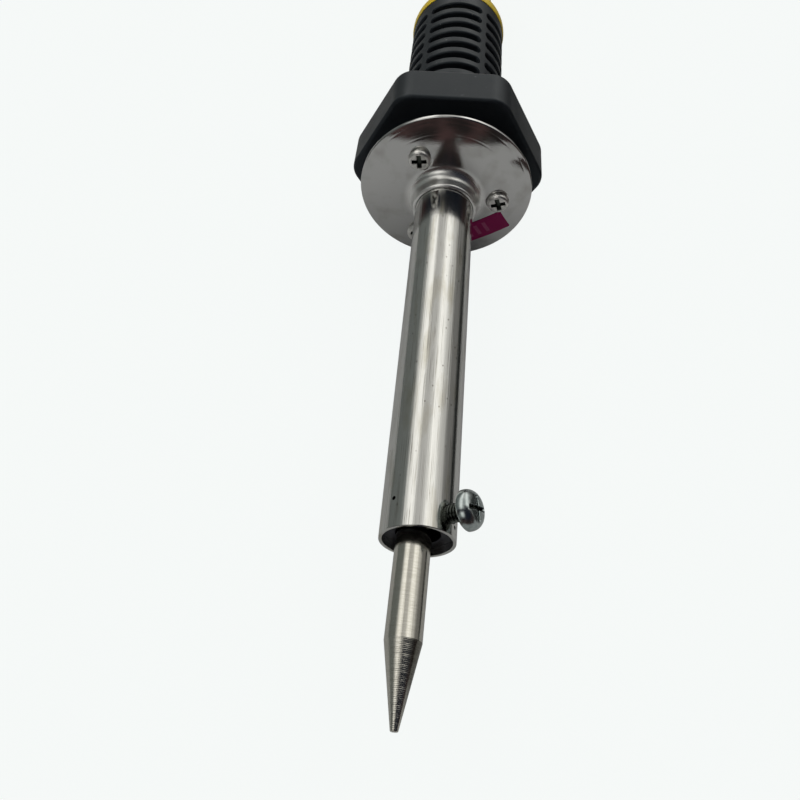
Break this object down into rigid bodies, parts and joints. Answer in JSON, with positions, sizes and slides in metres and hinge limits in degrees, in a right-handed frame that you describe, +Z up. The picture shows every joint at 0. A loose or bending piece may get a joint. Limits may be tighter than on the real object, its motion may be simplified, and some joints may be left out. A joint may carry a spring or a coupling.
{
  "type": "soldering iron",
  "caption": "Soldering iron with a clamped pencil bit, polished barrel and dished flange, hexagonal guard with a slotted vent cage, and a waisted grip.",
  "frame": {"origin": "middle of the lowest flat of the hexagonal guard, the face that the iron rests on", "axes": "+Z up, +Y along the barrel's axis from the bit to the grip, +X to the right seen from the bit's end with the set screw up; the barrel's axis is 24.6 mm above the origin"},
  "size_m": [0.0548, 0.304, 0.0492],
  "materials": {
    "bit_plating": "nickel-plated steel, warm silver, finely turned on the cone",
    "zinc_steel": "zinc-plated steel, cool grey, satin",
    "barrel_chrome": "polished chromed tube with faint heat tint and fine scratches",
    "collar_steel": "blued steel, dark",
    "core_steel": "bare steel tube, oxidised",
    "mica": "wound mica sheet, amber grey",
    "winding_wire": "oxidised nickel-chrome wire",
    "ceramic": "unglazed steatite, cream",
    "flange_chrome": "polished pressed steel",
    "screw_nickel": "nickel-plated steel",
    "label_magenta": "magenta printed film",
    "washer_fibre": "pressed heat-resistant fibre",
    "guard_black": "fine-textured black phenolic",
    "sleeve_black": "varnished black glass-fibre sleeving",
    "bakelite": "brown moulded bakelite",
    "brass": "plain brass",
    "earth_sleeve": "green insulation",
    "grip_yellow": "smooth yellow plastic, soft gloss",
    "cap_black": "fine-textured black plastic"
  },
  "bodies": {
    "iron": {"barrel": "barrel_chrome", "front_collar": "collar_steel", "core_tube": "core_steel", "inner_mica": "mica", "heating_winding": "winding_wire", "outer_mica": "mica", "rear_bush": "ceramic", "lead_wire_right": "winding_wire", "lead_wire_left": "winding_wire", "lead_sleeves": "sleeve_black", "flange": "flange_chrome", "flange_screws": "screw_nickel", "rating_label": "label_magenta", "heat_washer": "washer_fibre", "hex_guard": "guard_black", "vent_cage": "guard_black", "earth_tag": "brass", "earth_lead": "earth_sleeve", "grip": "grip_yellow", "terminal_block": "bakelite", "terminal_ferrules": "brass", "terminal_screws": "brass", "end_cap": "cap_black", "cord_clamp": "cap_black", "cord_clamp_screws": "zinc_steel"},
    "bit": {"bit": "bit_plating"},
    "set_screw": {"set_screw": "zinc_steel"}
  },
  "joints": [
    {"name": "bit_slide", "type": "slide", "parent": "iron", "child": "bit", "axis": [-0.0167, -0.9998, -0.0083], "range_m": [-0.018, 0.046]},
    {"name": "set_screw_travel", "type": "slide", "parent": "iron", "child": "set_screw", "axis": [0.829, 0, 0.5592], "range_m": [0, 0.0035]}
  ]
}
